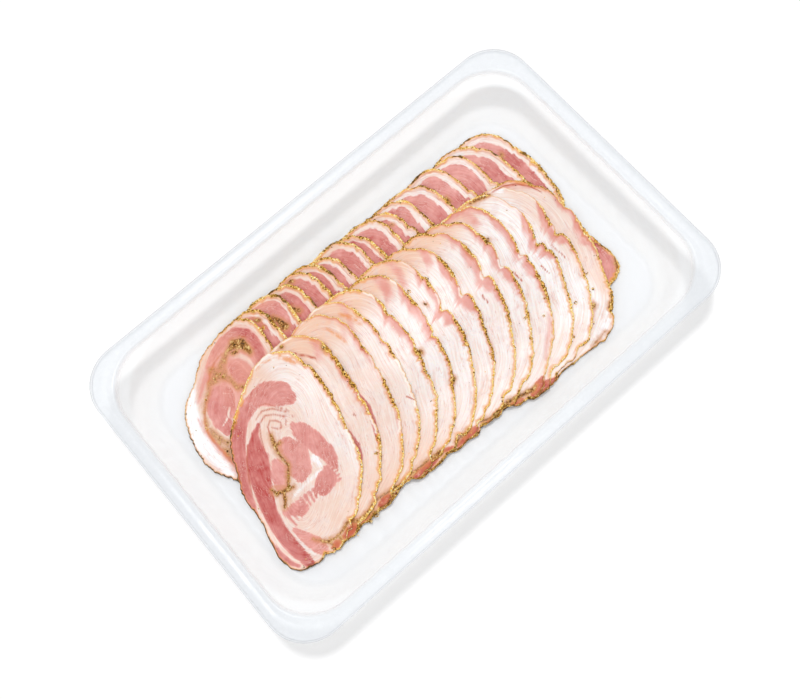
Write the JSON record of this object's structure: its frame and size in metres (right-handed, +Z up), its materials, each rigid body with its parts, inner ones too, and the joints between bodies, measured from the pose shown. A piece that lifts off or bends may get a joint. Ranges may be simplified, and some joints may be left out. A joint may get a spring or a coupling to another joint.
{
  "type": "sliced rolled pork belly in a tray",
  "caption": "Thin slices of spice-crusted rolled pork belly, shingled in overlapping rows in the clear fluted tray that holds and displays them.",
  "frame": {"origin": "under the middle of the tray, on the surface it stands on", "axes": "+X along the tray's long side, +Y across it from the front row of slices to the back row, +Z up"},
  "size_m": [0.23, 0.144, 0.028],
  "materials": {
    "clear_tray": "clear, smooth thermoformed sheet, glossy",
    "cured_pork": "moist pink lean and cream fat, satin with small wet highlights",
    "spice_crust": "dry golden brown spice and green herb flakes, matt"
  },
  "bodies": {
    "root": {"tray": "clear_tray", "front_slice_01": "cured_pork", "front_slice_02": "cured_pork", "front_slice_03": "cured_pork", "front_slice_04": "cured_pork", "front_slice_05": "cured_pork", "front_slice_06": "cured_pork", "front_slice_07": "cured_pork", "front_slice_08": "cured_pork", "front_slice_09": "cured_pork", "front_slice_10": "cured_pork", "front_slice_11": "cured_pork", "front_slice_12": "cured_pork", "front_slice_13": "cured_pork", "front_slice_14": "cured_pork", "back_slice_01": "cured_pork", "back_slice_02": "cured_pork", "back_slice_03": "cured_pork", "back_slice_04": "cured_pork", "back_slice_05": "cured_pork", "back_slice_06": "cured_pork", "back_slice_07": "cured_pork", "back_slice_08": "cured_pork", "back_slice_09": "cured_pork", "back_slice_10": "cured_pork", "back_slice_11": "cured_pork", "back_slice_12": "cured_pork", "back_slice_13": "cured_pork", "back_slice_14": "cured_pork", "back_slice_15": "cured_pork", "back_slice_16": "cured_pork", "back_slice_17": "cured_pork", "tucked_slice_01": "cured_pork"}
  },
  "joints": []
}
